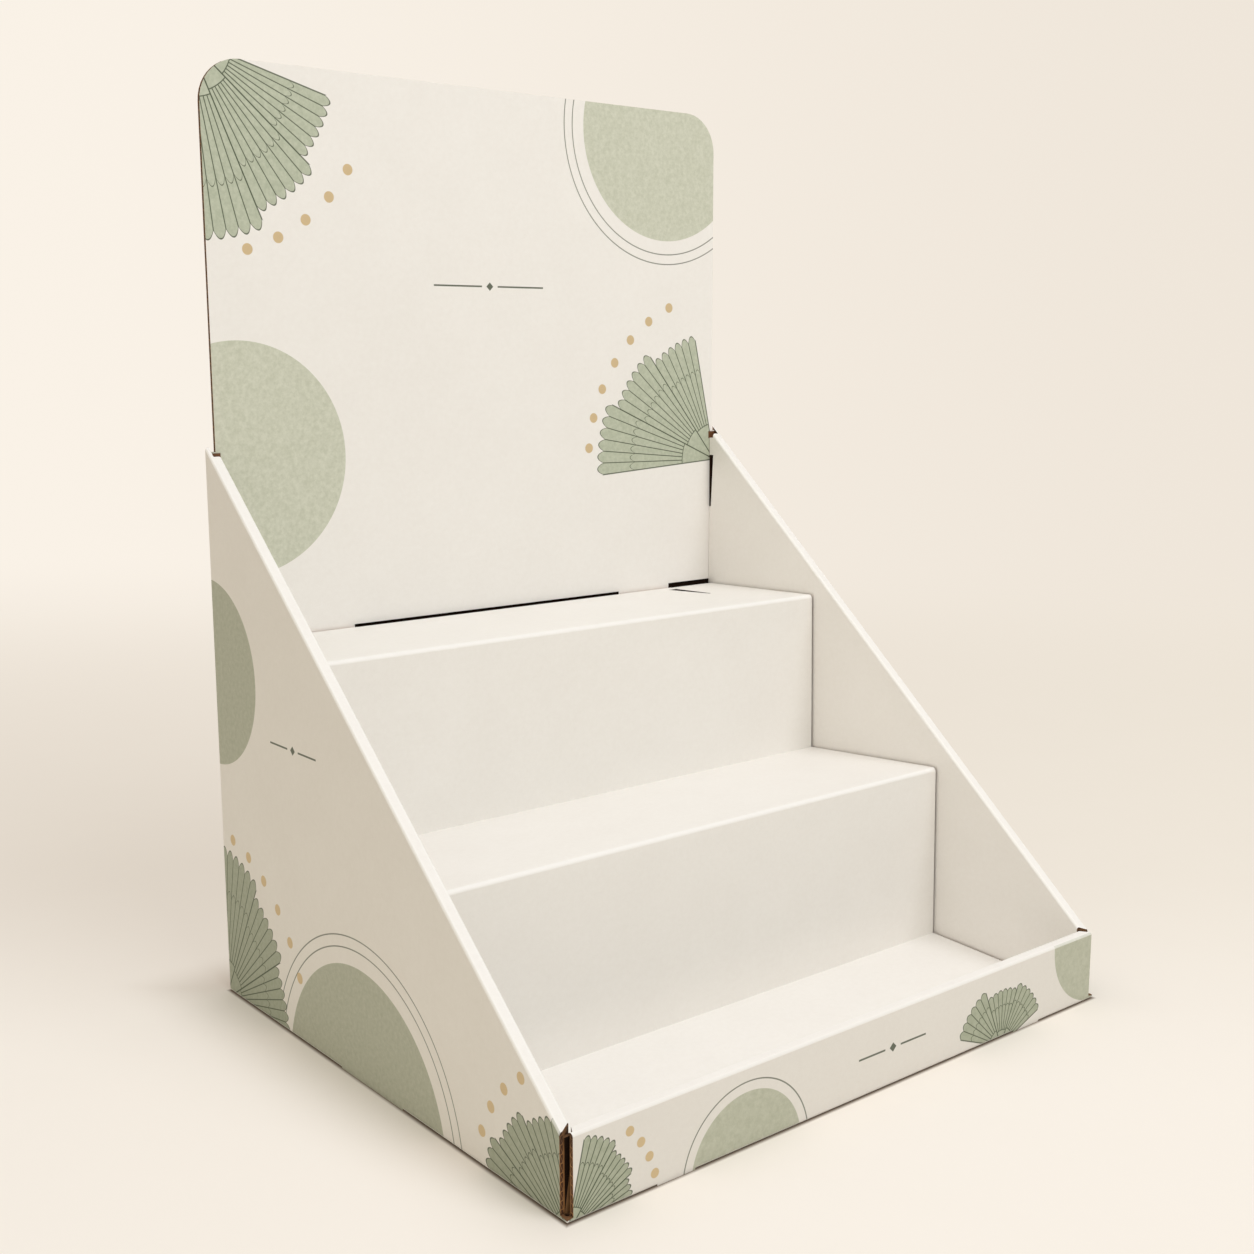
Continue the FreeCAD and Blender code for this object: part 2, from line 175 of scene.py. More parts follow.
def ink(red, green, blue):  # a screen colour, 0 to 255, as the linear colour that a shader takes
    def linear(level):
        level = level / 255
        return level / 12.92 if level <= 0.04045 else ((level + 0.055) / 1.055) ** 2.4
    return (linear(red), linear(green), linear(blue), 1.0)


def startMaterial(name):
    material = bpy.data.materials.new(name)
    material.use_nodes = True
    tree = material.node_tree
    tree.nodes.clear()
    output = tree.nodes.new("ShaderNodeOutputMaterial")
    shader = tree.nodes.new("ShaderNodeBsdfPrincipled")
    tree.links.new(shader.outputs[0], output.inputs["Surface"])
    metres = Wire(tree, tree.nodes.new("ShaderNodeTexCoord").outputs["Object"])
    return material, shader, metres.scaled(perMetre)


def plug(shader, name, wire):
    wire.tree.links.new(wire.socket, shader.inputs[name])


def splitAxes(place):
    return [place.make("ShaderNodeSeparateXYZ", None, {0: place}, out=axis) for axis in range(3)]


# board surfaces: white liner, kraft and cut edges

paper = {
    "white": ink(245, 242, 237),
    "whiteShade": ink(238, 234, 228),
    # fold: the painted highlight colour of the rounded folds, with some whitening of the creased liner
    "fold": ink(250, 248, 244),
    "kraft": ink(184, 140, 92),
    "kraftDark": ink(150, 108, 66),
    # a near-black brown, painted as the shade in hollows, slits and mitres
    "hollow": ink(52, 30, 15),
    "roughness": 0.58,
    "roughnessRange": 0.12,
    "tooth": 0.25,
    "fibreRelief": 0.012,
    "waveRelief": 0.5,
    "mottling": 1.1,
    "clouding": 0.6,
    "shadeLevel": 0.4,
    "fibreShade": 0.05,
    "foldHighlightAndWhitening": 0.5,
}

# the slit in the upper tread tapers from its rear end to its tip; millimetres
slit = {
    "rear": 118.15, "start": 110.5, "tip": 112.7, "length": 27.5, "halfWidth": 2.0,
    "margin": 0.8, "behind": 0.4, "treadFrom": 155.0, "darkness": 0.92,
}


def paperTooth(shader, place, roughness, strength):
    # fine fibre bump and slow waves in the board
    fibres = place.noise(2.2, 4.0, 0.6)
    clouds = place.noise(0.035, 2.0, 0.5)
    relief = fibres * paper["fibreRelief"] + clouds * paper["waveRelief"]
    plug(shader, "Normal", relief.bump(strength, mm))
    spread = paper["roughnessRange"]
    plug(shader, "Roughness", place.noise(0.6, 2.0) * spread + (roughness - spread / 2))
    return fibres, clouds


def whiteSurface(shader, place):
    fibres, clouds = paperTooth(shader, place, paper["roughness"], paper["tooth"])
    mottle = place.noise(0.45, 5.0, 0.65)
    worn = (mottle - 0.5) * paper["mottling"] + (clouds - 0.5) * paper["clouding"] + paper["shadeLevel"]
    colour = worn.tint(paper["white"], paper["whiteShade"])
    return colour.multiply(((fibres - 0.5) * paper["fibreShade"] + 1.0).grey())


# painted highlight on the rounded folds, partly the whitening of the creased liner: the fold colour is
# mixed in where the crease attribute is 1
def paintFoldHighlightAndWhitening(place, colour):  # the crease attribute is 1 on the rounded folds
    crease = place.make("ShaderNodeAttribute", {"attribute_name": "crease"}, None, out=2)
    return (crease * paper["foldHighlightAndWhitening"]).tint(colour, paper["fold"])


def makeLiner(name, shadeTone):
    material, shader, place = startMaterial(name)
    colour = paintFoldHighlightAndWhitening(place, whiteSurface(shader, place).multiply(shadeTone))
    # painted shade: the liner around the tread's slit is darkened towards the hollow colour, as the
    # shade in the slit
    x, y, z = splitAxes(place)
    back = slit["rear"] - y
    middle = slit["start"] + back * ((slit["tip"] - slit["start"]) / slit["length"])
    half = slit["halfWidth"] - back * (slit["halfWidth"] / slit["length"]) + slit["margin"]
    slitShade = (abs(x - middle) - half).below(0.0, 0.15)
    slitShade = slitShade * back.above(-slit["behind"], 0.1) * back.below(slit["length"], 0.3)
    slitShade = slitShade * z.above(slit["treadFrom"], 1.0) * slit["darkness"]
    plug(shader, "Base Color", slitShade.tint(colour, paper["hollow"]))
    return material


kraftBoard = {
    "roughness": 0.72,
    "tooth": 0.4,
    "streaking": 1.6,
    "clouding": 0.5,
    "speck": ink(112, 80, 50),
    "speckShare": 0.35,
    "frontEnd": -118.0,
    "frontDarkness": 0.3,
    "rearEnd": 118.0,
    "rearStop": 128.2,
    "rearFoot": 203.0,
    "rearDarkness": 0.9,
    "hollowSides": (144.3, 148.4),
}


def makeKraft():
    material, shader, place = startMaterial("kraftLiner")
    board = kraftBoard
    _, clouds = paperTooth(shader, place, board["roughness"], board["tooth"])
    streaks = place.noise(1.4, 4.0, 0.6, (1.0, 1.0, 0.16))
    specks = place.noise(5.0, 2.0, 0.5).above(0.68, 0.04)
    worn = (streaks - 0.5) * board["streaking"] + (clouds - 0.5) * board["clouding"] + 0.5
    colour = worn.tint(paper["kraft"], paper["kraftDark"])
    colour = (specks * board["speckShare"]).tint(colour, board["speck"])
    # painted shade: the hollow walls' kraft is darker towards their two ends, inside
    x, y, z = splitAxes(place)
    low, high = board["hollowSides"]
    front = y.below(board["frontEnd"], 5.0) * board["frontDarkness"]
    rear = y.above(board["rearEnd"], 6.0) * y.below(board["rearStop"], 0.3)
    rear = rear * z.above(board["rearFoot"], 3.0) * board["rearDarkness"]
    hollow = (front | rear) * abs(x).above(low, 0.2) * abs(x).below(high, 0.05)
    plug(shader, "Base Color", hollow.tint(colour, paper["hollow"]))
    return material


slotCut = {
    "dark": ink(24, 15, 9), "lighter": ink(44, 28, 17),
    "roughness": 0.95, "specular": 0.1, "tooth": 0.4, "relief": 0.5 * mm,
}


def makeSlotShade():
    # painted shade: a near-black kraft for the inside of the slots and slit, and the front of the lip's
    # ears, as the shade in them
    material, shader, place = startMaterial("slotShade")
    fibres = place.noise(1.8, 3.0, 0.6, (0.4, 1.0, 1.0))
    plug(shader, "Base Color", fibres.tint(slotCut["dark"], slotCut["lighter"]))
    plug(shader, "Normal", fibres.bump(slotCut["tooth"], slotCut["relief"]))
    shader.inputs["Roughness"].default_value = slotCut["roughness"]
    shader.inputs["Specular IOR Level"].default_value = slotCut["specular"]
    return material


cutBoard = {
    "fluteGap": ink(80, 50, 26),
    "fluteWall": ink(172, 122, 72),
    "flutePitch": 3.4,
    "waveHeight": 0.3,
    "wander": 0.25,
    "fluteWidth": 0.2,
    "linerWidth": 0.14,
    "roughness": 0.85,
    "tooth": 0.6,
    "relief": 0.5 * mm,
    "mitreFrom": -120.0,
    "mitreFoot": 27.0,
    "baseTop": 2.2,
    "mitreDarkness": 0.6,
    "headerFoot": 246.0,
    "headerDarkness": 0.35,
}


def makeCutEdge():
    # two liners with the wavy flute sheet between them, read from the edge's own UV map; the gaps
    # between the flutes are painted dark as their shade
    material, shader, place = startMaterial("cutEdge")
    board = cutBoard
    along, across, _ = splitAxes(place.make("ShaderNodeUVMap", {"uv_map": "edge"}))
    wander = place.noise(0.35, 1.0) * board["wander"]
    wave = ((along + wander) * (2 * math.pi)).sine() * board["waveHeight"] + 0.5
    flute = (across - wave).band(0.0, board["fluteWidth"], 0.05)
    liners = across.below(board["linerWidth"], 0.03) | across.above(1 - board["linerWidth"], 0.03)
    relief = flute | liners
    wall = place.noise(1.5, 3.0).tint(board["fluteWall"], paper["kraftDark"])
    colour = relief.tint(board["fluteGap"], wall)
    # painted shade: darker at the front corners' mitres, and a little along the header
    _, y, z = splitAxes(place)
    corner = z.above(board["mitreFoot"], 3.0) | z.below(board["baseTop"], 0.3)
    mitre = y.below(board["mitreFrom"], 4.0) * corner * board["mitreDarkness"]
    header = z.above(board["headerFoot"], 1.0) * board["headerDarkness"]
    plug(shader, "Base Color", (mitre | header).tint(colour, paper["hollow"]))
    plug(shader, "Normal", relief.bump(board["tooth"], board["relief"]))
    shader.inputs["Roughness"].default_value = board["roughness"]
    return material


# print on the white liner: round fields, thin arcs, fans, dots and plain dividers

printing = {
    "sage": ink(210, 212, 194),
    "sageDeep": ink(192, 195, 174),
    "fan": ink(190, 196, 174),
    "fanDeep": ink(170, 178, 154),
    "line": ink(70, 80, 58),
    "dot": ink(208, 182, 136),
    "mottling": 3.2,
    "fieldCover": 0.96,
    "arcCover": 0.8,
    "arcWidth": 0.55,
    "fanCover": 0.94,
    "lineCover": 0.93,
    "dotCover": 0.95,
    "diamond": 2.0,
    "rule": 0.4,
    "ruleGap": 4.6,
}

fanParts = {"scallop": 0.2, "ring": 0.72, "hub": 0.3, "shrink": 0.08}  # shares of a fan's radius


def offPoint(u, v, at):  # across, up and straight distance from a point
    across = u - at[0]
    up = v - at[1]
    return across, up, (across * across + up * up).root()


def angleFrom(across, up, heading):  # angle in radians from a heading in degrees
    heading = math.radians(heading)
    along = across * math.cos(heading) + up * math.sin(heading)
    aside = up * math.cos(heading) - across * math.sin(heading)
    return aside.maths("ARCTAN2", aside, along)


def fanShape(u, v, fan, turn, line):
    # an open fan: a filled sector with a scalloped edge, ribs and rings
    across, up, distance = offPoint(u, v, fan["at"])
    angle = angleFrom(across, up, fan["headings"][turn])
    spread = math.radians(fan["spread"]) / 2
    radius = fan["radius"] * (1.0 - fanParts["shrink"] * turn)
    hub = radius * fanParts["hub"]
    step = 2 * spread / fan["ribs"]
    toRib = angle.maths("PINGPONG", angle + spread, step / 2)
    rim = distance - toRib * (step - toRib) * (fanParts["scallop"] * radius / step / step)
    within = (abs(angle) - spread) * distance
    inside = rim.below(radius) * within.below(0.0)
    ribs = (toRib * distance).below(line * 0.4, 0.1) * distance.above(hub)
    rings = rim.band(radius * fanParts["ring"], line * 0.7) | distance.band(hub, line * 0.8)
    edge = rim.band(radius, line) * within.below(line / 2)
    sides = within.band(0.0, line) * rim.below(radius)
    return inside, edge | sides | ((ribs | rings) * inside)


def dotRow(u, v, row):
    # equal dots along an arc
    across, up, distance = offPoint(u, v, row["at"])
    angle = angleFrom(across, up, row["heading"])
    spread = math.radians(row["spread"]) / 2
    step = 2 * spread / row["count"]
    toMiddle = step / 2 - angle.maths("PINGPONG", angle + spread, step / 2)
    offArc = distance - row["radius"]
    offDot = toMiddle * row["radius"]
    dot = (offArc * offArc + offDot * offDot).root().below(row["size"])
    return dot * abs(angle).below(spread, 0.01)


def printDesign(u, v, base, design, mottle):
    colour = base
    worn = (mottle - 0.5) * printing["mottling"] + 0.5
    sage = worn.tint(printing["sage"], printing["sageDeep"]).multiply(design["inkShade"])
    fanInk = worn.tint(printing["fan"], printing["fanDeep"]).multiply(design["inkShade"])
    line = printing["line"]
    for field in design["fields"]:
        _, _, distance = offPoint(u, v, field["at"])
        colour = (distance.below(field["radius"]) * printing["fieldCover"]).tint(colour, sage)
        for gap in field["arcs"]:
            arc = distance.band(field["radius"] + gap, printing["arcWidth"])
            colour = (arc * printing["arcCover"]).tint(colour, line)
    for fan in design["fans"]:
        for turn in range(len(fan["headings"])):
            fill, lines = fanShape(u, v, fan, turn, design["fanLine"])
            colour = (fill * printing["fanCover"]).tint(colour, fanInk)
            colour = (lines * printing["lineCover"]).tint(colour, line)
    for row in design["dots"]:
        colour = (dotRow(u, v, row) * printing["dotCover"]).tint(colour, printing["dot"])
    for divider in design["dividers"]:
        offCentre = abs(u - divider["at"][0])
        up = abs(v - divider["at"][1])
        diamond = (offCentre + up).below(printing["diamond"])
        rule = up.below(printing["rule"]) * offCentre.below(divider["half"])
        rule = rule * offCentre.above(printing["ruleGap"])
        colour = ((diamond | rule) * printing["lineCover"]).tint(colour, line)
    return colour


def makePrinted(name, designs, hollows=()):
    # each design sits on one flat side of the piece
    material, shader, place = startMaterial(name)
    base = whiteSurface(shader, place)
    axes = splitAxes(place)
    mottle = place.noise(0.5, 5.0, 0.7)
    colour = base
    for design in designs:
        acrossAxis, acrossSign = design["across"]
        faceAxis, faceSign, faceAt = design["face"]
        u = axes[acrossAxis] * acrossSign
        onFace = (axes[faceAxis] * faceSign).above(faceAt, 0.05)
        printed = printDesign(u, axes[2], base.multiply(design["ground"]), design, mottle)
        colour = onFace.tint(colour, printed)
    colour = paintFoldHighlightAndWhitening(place, colour)
    x, y, z = axes
    # painted shade over the print in the hollows behind the walls' ends
    for hollow in hollows:
        low, high = hollow["sides"]
        foot, top = hollow["heights"]
        hidden = abs(x).above(low, 0.08) * abs(x).below(high, 0.08)
        hidden = hidden * z.above(foot, 0.3) * z.below(top, 0.3) * y.below(hollow["front"], 0.1)
        colour = hidden.tint(colour, hollow["shadeTone"])
    plug(shader, "Base Color", colour)
    return material


headerPrint = {
    "across": (0, 1.0),
    "face": (1, -1.0, -128.0),
    "ground": (1.0, 1.0, 1.0),
    "inkShade": (1.0, 1.0, 1.0),
    "fanLine": 0.6,
    "fields": [
        {"at": (112.0, 402.0), "radius": 54.0, "arcs": (7.0, 12.0)},
        {"at": (-134.0, 244.0), "radius": 52.0, "arcs": ()},
    ],
    "fans": [
        {"at": (148.0, 232.0), "radius": 78.0, "headings": (170, 143, 116), "spread": 27, "ribs": 6},
        {"at": (-150.0, 420.0), "radius": 78.0, "headings": (-80, -54, -28), "spread": 26, "ribs": 6},
    ],
    "dots": [
        {"at": (148.0, 232.0), "radius": 88.0, "heading": 143, "spread": 72, "count": 7, "size": 2.5},
        {"at": (-150.0, 420.0), "radius": 88.0, "heading": -54, "spread": 52, "count": 5, "size": 2.5},
    ],
    "dividers": [{"at": (0.0, 322.0), "half": 32.0}],
}

sidePrint = {
    "across": (1, -1.0),
    "face": (0, 1.0, 149.4),
    # painted shade: the outer walls' ground and inks are darker than the header's
    "ground": (0.89, 0.875, 0.84),
    "inkShade": (0.7, 0.7, 0.66),
    "fanLine": 0.6,
    "fields": [
        {"at": (-8.0, -14.0), "radius": 62.0, "arcs": (7.0, 12.0)},
        {"at": (-132.0, 150.0), "radius": 42.0, "arcs": ()},
    ],
    "fans": [
        {"at": (-134.0, -6.0), "radius": 72.0, "headings": (74, 46, 18), "spread": 28, "ribs": 6},
        {"at": (134.0, -8.0), "radius": 52.0, "headings": (168, 142, 116), "spread": 26, "ribs": 5},
    ],
    "dots": [
        {"at": (-134.0, -6.0), "radius": 82.0, "heading": 52, "spread": 66, "count": 6, "size": 2.5},
        {"at": (134.0, -8.0), "radius": 60.0, "heading": 140, "spread": 50, "count": 4, "size": 2.3},
    ],
    "dividers": [{"at": (-58.0, 128.0), "half": 20.0}],
}

lipPrint = {
    "across": (0, 1.0),
    "face": (1, -1.0, 128.2),
    # painted shade: the lip's ground and inks are darker than the header's
    "ground": (0.89, 0.88, 0.86),
    "inkShade": (0.82, 0.82, 0.79),
    "fanLine": 0.5,
    "fields": [
        {"at": (-66.0, -6.0), "radius": 28.0, "arcs": (4.0,)},
        {"at": (150.0, 30.0), "radius": 30.0, "arcs": ()},
    ],
    "fans": [
        {"at": (-150.0, -4.0), "radius": 33.0, "headings": (64, 38, 12), "spread": 26, "ribs": 5},
        {"at": (84.0, -4.0), "radius": 29.0, "headings": (136, 44, 90), "spread": 46, "ribs": 6},
    ],
    "dots": [
        {"at": (-150.0, -4.0), "radius": 40.0, "heading": 30, "spread": 44, "count": 4, "size": 1.9},
    ],
    "dividers": [{"at": (14.0, 16.0), "half": 20.0}],
}

# painted shade: dark behind the walls' notches, and brown where the rims' ends meet the panel, as the
# shaded kraft there
panelHollows = [
    {"sides": (144.75, 149.0), "heights": (205.8, 234.4), "front": 127.6, "shadeTone": paper["hollow"]},
    {"sides": (143.7, 149.0), "heights": (243.6, 247.5), "front": 127.6, "shadeTone": ink(104, 64, 32)},
]


def sideDesign(side):  # the same design on both outer walls, mirrored
    axis, _, far = sidePrint["face"]
    return dict(sidePrint, face=(axis, side, far))


# painted shade: the steps' white liner is a little darker than the panel's
plainLiner = makeLiner("whiteLiner", (0.975, 0.975, 0.97))
kraftLiner = makeKraft()
cutEdge = makeCutEdge()
slotShade = makeSlotShade()
printedPanel = makePrinted("printedPanel", [headerPrint], panelHollows)
printedTray = makePrinted("printedTray", [sideDesign(-1.0), sideDesign(1.0), lipPrint])
print("board surfaces ready")


# each folded sheet with its white side, kraft side and cut edges; places in millimetres

traySheet = {
    "node": "tray", "name": "foldedTray", "slot": "tray_board", "board": 1.7,
    "front": -129.0, "frontFace": -128.9, "baseTop": 2.0,
    "wallIn": 148.3, "wallFace": 149.9, "innerOut": 146.3, "innerIn": 144.6,
    "lipIn": -125.3, "lipTop": 30.3, "lipEnds": (-123.4, 148),
    "earSides": (144.02, 148.2), "earRear": -123.5, "earTop": 29.8,
    "corner": (147.2, -124.9, 1.75),
    "wallRear": 100, "innerFronts": (-127, -115, 144.2),
    "notchTop": (230, 240), "notchFrom": 123, "notchSide": 146.4,
    "baseEdges": 1.72, "lipEdges": -127.2, "lipInner": (144.3, -123), "wallEdges": 148.2,
}

panelSheet = {
    "node": "back_panel", "name": "foldedBackPanel", "slot": "panel_board", "board": 1.7,
    "face": 127.3, "faceFrom": 127.2, "shoulder": 247.0, "tabTop": 1.86,
    "slotHeights": (160, 167), "slotDepths": (127.32, 128.9),
    "flapFronts": 85, "flapOuter": 146.6, "flapIn": 146.45,
}

insertSheet = {
    "node": "step_insert", "name": "foldedSteps", "slot": "insert_board", "board": 1.7,
    "legFace": 125.45, "legFrom": 125.3, "legRear": 127, "slotFace": 124.85, "slotFrom": 124.8,
    "slitSides": (100, 120), "slitPlaces": (80, 120), "upperSteps": 155, "belowTread": 160,
    "treadUnder": 162.2, "feet": 1.9, "floorFront": -123,
}

square = 0.9  # a side that looks straight along an axis


def near(value, target, slack=0.12):
    return abs(value - target) < slack


def between(value, ends):
    return ends[0] < value < ends[1]


def traySide(centre, normal):
    sheet = traySheet
    x, y, z = centre
    side = abs(x)
    overBase = z > sheet["board"]
    if between(side, sheet["earSides"]) and y < sheet["earRear"] and overBase and z < sheet["earTop"]:
        # painted shade: the ears' fronts take the near-black slot material
        if normal.y < -square:
            return "slot"
        return "white" if normal.y > square else "edge"
    cornerSide, cornerRear, cornerTop = sheet["corner"]
    if z < cornerTop and side > cornerSide and y < cornerRear and normal.z > -square:
        return "edge"
    if normal.y > square and y > sheet["wallRear"]:
        return "edge"
    innerFront, innerStop, innerSide = sheet["innerFronts"]
    if normal.y < -0.4 and innerFront < y < innerStop and side > innerSide and overBase:
        return "edge"
    lipRear, lipSide = sheet["lipEnds"]
    if abs(normal.x) > 0.3 and y < lipRear and side < lipSide and overBase:
        return "edge"
    inNotch = between(z, sheet["notchTop"]) and y > sheet["notchFrom"] and side < sheet["notchSide"]
    if normal.z < -0.5 and inNotch:
        return "edge"
    inBase = z < sheet["baseTop"]
    if inBase and abs(normal.z) < 0.2 and side < sheet["wallFace"] and y > sheet["frontFace"]:
        return "edge"
    if normal.z < -square and inBase and z > 0.05:  # the tabs' feet
        return "edge"
    if normal.z > square and near(z, sheet["board"]):
        return "kraft"
    if abs(normal.x) > square and (near(side, sheet["wallIn"]) or near(side, sheet["innerOut"])):
        return "kraft"
    if normal.z < -0.3 and z > 5 and sheet["innerIn"] < side < sheet["wallIn"] + 0.1:  # under the rims
        return "kraft"
    if normal.y > square and near(y, sheet["front"] + sheet["board"]):
        return "kraft"
    if normal.y < -square and near(y, sheet["lipIn"]):
        return "kraft"
    if normal.z < -square and near(z, sheet["lipTop"]):
        return "kraft"
    return "white"


def panelSide(centre, normal):
    sheet = panelSheet
    x, y, z = centre
    # painted shade: the slots' pockets take the near-black slot material
    if between(z, sheet["slotHeights"]) and between(y, sheet["slotDepths"]):
        return "slot"
    if abs(normal.z) > 0.3:
        return "edge"
    openSide = z > sheet["shoulder"] or z < sheet["tabTop"]
    if y > sheet["face"] - 0.05 and abs(normal.x) > 0.3 and openSide:
        return "edge"
    if normal.y < -square and y < sheet["flapFronts"]:
        return "edge"
    if normal.y > 0.4 or (abs(x) > sheet["flapOuter"] and normal.x * x > 0):
        return "kraft"
    return "white"


def insertSide(centre, normal):
    sheet = insertSheet
    x, y, z = centre
    inSlit = between(abs(x), sheet["slitSides"]) and between(y, sheet["slitPlaces"])
    # painted shade: the slit's walls take the near-black slot material
    if inSlit and z > sheet["upperSteps"] and abs(normal.z) < 0.5:
        return "slot"
    if abs(normal.x) > 0.5:
        return "edge"
    if normal.y > square and near(y, sheet["slotFace"]):
        return "edge"
    if normal.z > square and y > sheet["slotFrom"] and z < sheet["belowTread"]:
        return "edge"
    if (normal.z < -square and z < sheet["feet"]) or (normal.y < -square and y < sheet["floorFront"]):
        return "edge"
    if normal.z < -0.3 or (normal.y > 0.4 and y < sheet["legRear"]):
        return "kraft"
    if normal.y < -square and near(y, sheet["legFace"]):
        return "kraft"
    return "white"


def acrossTray(centre):  # axis and lowest place of the sheet's thickness, at a cut edge
    x, y, z = centre
    sheet = traySheet
    lipSide, lipRear = sheet["lipInner"]
    if z < sheet["baseEdges"]:
        return 2, 0.0
    if y < sheet["lipEdges"]:
        return 1, sheet["front"]
    if abs(x) < lipSide and y < lipRear:
        return (2, sheet["lipTop"]) if z > sheet["lipTop"] else (1, sheet["lipIn"])
    return 0, sheet["wallIn"] if abs(x) > sheet["wallEdges"] else sheet["innerIn"]


def acrossPanel(centre):
    return (1, panelSheet["face"]) if centre.y > panelSheet["faceFrom"] else (0, panelSheet["flapIn"])


def acrossInsert(centre):
    if centre.y > insertSheet["legFrom"]:
        return 1, insertSheet["legFace"]
    if centre.z > insertSheet["upperSteps"]:
        return 2, insertSheet["treadUnder"]
    return 1, centre.y - insertSheet["board"] / 2


dressing = {
    "mergeWithin": 0.01 * mm,
    "flatWithin": math.radians(1.0),
    "smoothAngle": math.radians(50),
    "flatFrom": 0.985,
    "rimNormal": 0.759,
}


def steadyNormals(mesh):
    # flat sides keep their own direction to the very edge, and only the folds' arcs turn
    closest = math.cos(dressing["smoothAngle"])
    around = [[] for _ in mesh.vertices]
    for face in mesh.polygons:
        for vertex in face.vertices:
            around[vertex].append(face)
    normals = []
    for face in mesh.polygons:
        for vertex in face.vertices:
            total = Vector((0, 0, 0))
            for other in around[vertex]:
                if other.normal.dot(face.normal) > closest:
                    total += other.normal * (other.area * perMetre ** 2) ** 2
            normals.append(total.normalized() if total.length > 0 else face.normal.copy())
    mesh.normals_split_custom_set(normals)


def copySheet(piece):  # a copy of the CAD node, merged and with its flat sides in few faces
    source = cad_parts[piece["node"]]
    sheet = source.copy()
    sheet.data = source.data.copy()
    sheet.parent = None
    for key in list(sheet.keys()):
        del sheet[key]
    sheet.name = piece["name"]
    sheet.data.name = piece["name"]
    scene.collection.objects.link(sheet)
    bpy.ops.object.select_all(action="DESELECT")
    sheet.select_set(True)
    bpy.context.view_layer.objects.active = sheet
    bpy.ops.object.mode_set(mode="EDIT")
    bpy.ops.mesh.select_all(action="SELECT")
    bpy.ops.mesh.remove_doubles(threshold=dressing["mergeWithin"])
    bpy.ops.mesh.dissolve_limited(angle_limit=dressing["flatWithin"])
    bpy.ops.mesh.quads_convert_to_tris()
    bpy.ops.object.mode_set(mode="OBJECT")
    return sheet


def dressSheet(piece, sideOf, acrossOf, white):
    sheet = copySheet(piece)
    sheet.data.materials.clear()
    for material in (white, kraftLiner, cutEdge, slotShade):
        sheet.data.materials.append(material)
    kinds = {"white": 0, "kraft": 1, "edge": 2, "slot": 3}
    body = bmesh.new()
    body.from_mesh(sheet.data)
    edgeMap = body.loops.layers.uv.new("edge")
    crease = body.loops.layers.float.new("crease")
    for face in body.faces:
        centre = face.calc_center_median() * perMetre
        kind = sideOf(centre, face.normal)
        face.material_index = kinds[kind]
        flat = max(abs(value) for value in face.normal) > dressing["flatFrom"]
        rim = near(abs(face.normal.z), dressing["rimNormal"], 0.02) and abs(face.normal.x) < 0.05
        axis, low = acrossOf(centre)
        for loop in face.loops:
            spot = loop.vert.co * perMetre
            along = spot.z - abs(spot.x) + spot.y
            through = abs(spot[axis]) if axis == 0 else spot[axis]
            loop[edgeMap].uv = (along / cutBoard["flutePitch"], (through - low) / piece["board"])
            # crease picks the rounded white folds for the painted fold highlight
            loop[crease] = 0.0 if flat or rim or kind != "white" else 1.0
    body.to_mesh(sheet.data)
    body.free()
    bpy.ops.object.shade_smooth_by_angle(angle=dressing["smoothAngle"])
    steadyNormals(sheet.data)
    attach(sheet, "root")
    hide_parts(piece["node"])
    print("piece ready:", piece["name"], len(sheet.data.polygons), "faces")


dressSheet(traySheet, traySide, acrossTray, printedTray)
dressSheet(panelSheet, panelSide, acrossPanel, printedPanel)
dressSheet(insertSheet, insertSide, acrossInsert, plainLiner)


# floor, backdrop and light

studio = {
    "floor": ink(246, 240, 231),
    "floorGrain": ink(243, 236, 226),
    "floorRadius": 12,
    "floorRoughness": 0.9,
    "frontGlow": ink(249, 241, 230),
    "backdropLeft": ink(250, 242, 231),
    "backdropRight": ink(239, 230, 218),
    # painted shade: a darker band in the glow where a sweep would turn up
    "sweepShadeLeft": ink(233, 223, 210),
    "sweepShadeRight": ink(238, 229, 215),
    "sweepShadeStart": -0.12,
    "sweepShadeFull": 0.2,
    "backdropFull": 1.6,
    "sweepHalf": 0.42,
    "sweepReach": 600,
    "halfStand": (150.0, 129.0),
    # contact: colour of the painted contact shadow
    "contact": ink(96, 74, 52),
    "contactShadowLine": 0.9,
    "contactReach": 45.0,
    "glowNear": 0.62,
    "fadeStart": 0.35,
    "fadeEnd": 1.3,
    "skyLight": (0.3, 0.292, 0.24),
    "skyGlows": [  # broad soft parts of the sky: where, and their light
        ((0.0, 0.0, 1.0), (0.7, 0.65, 0.68)),
        ((-1.0, -0.1, 0.1), (0.6, 0.56, 0.5)),
        ((1.0, -0.2, 0.25), (0.14, 0.16, 0.15)),
    ],
}

softbox = {
    "at": (0.2, -1.0, 1.6),
    "aim": (0, 0, 0.15),
    "size": 1.2,
    "watts": 15.5,
    "colour": (0.91, 0.94, 1.0),
}


def sweepAxes():  # across and behind the stand, as the photograph shows its backdrop
    turn = math.radians(view["turn"])
    return (math.cos(turn), math.sin(turn), 0.0), (-math.sin(turn), math.cos(turn), 0.0)


# painted shade: the sweep's glow shifts a little in brightness from left to right
def sweepColour(direction, left, right):  # the pale sweep changes a little from left to right
    aside, _ = sweepAxes()
    half = studio["sweepHalf"]
    return direction.alongAxis(aside).ease(-half, half).tint(studio[left], studio[right])


def paleRays(tree):  # camera, gloss and glass see the pale backdrop; light does not come from it
    path = tree.nodes.new("ShaderNodeLightPath").outputs
    names = ("Is Camera Ray", "Is Glossy Ray", "Is Transmission Ray")
    camera, gloss, glass = [Wire(tree, path[name]) for name in names]
    return camera | gloss | glass


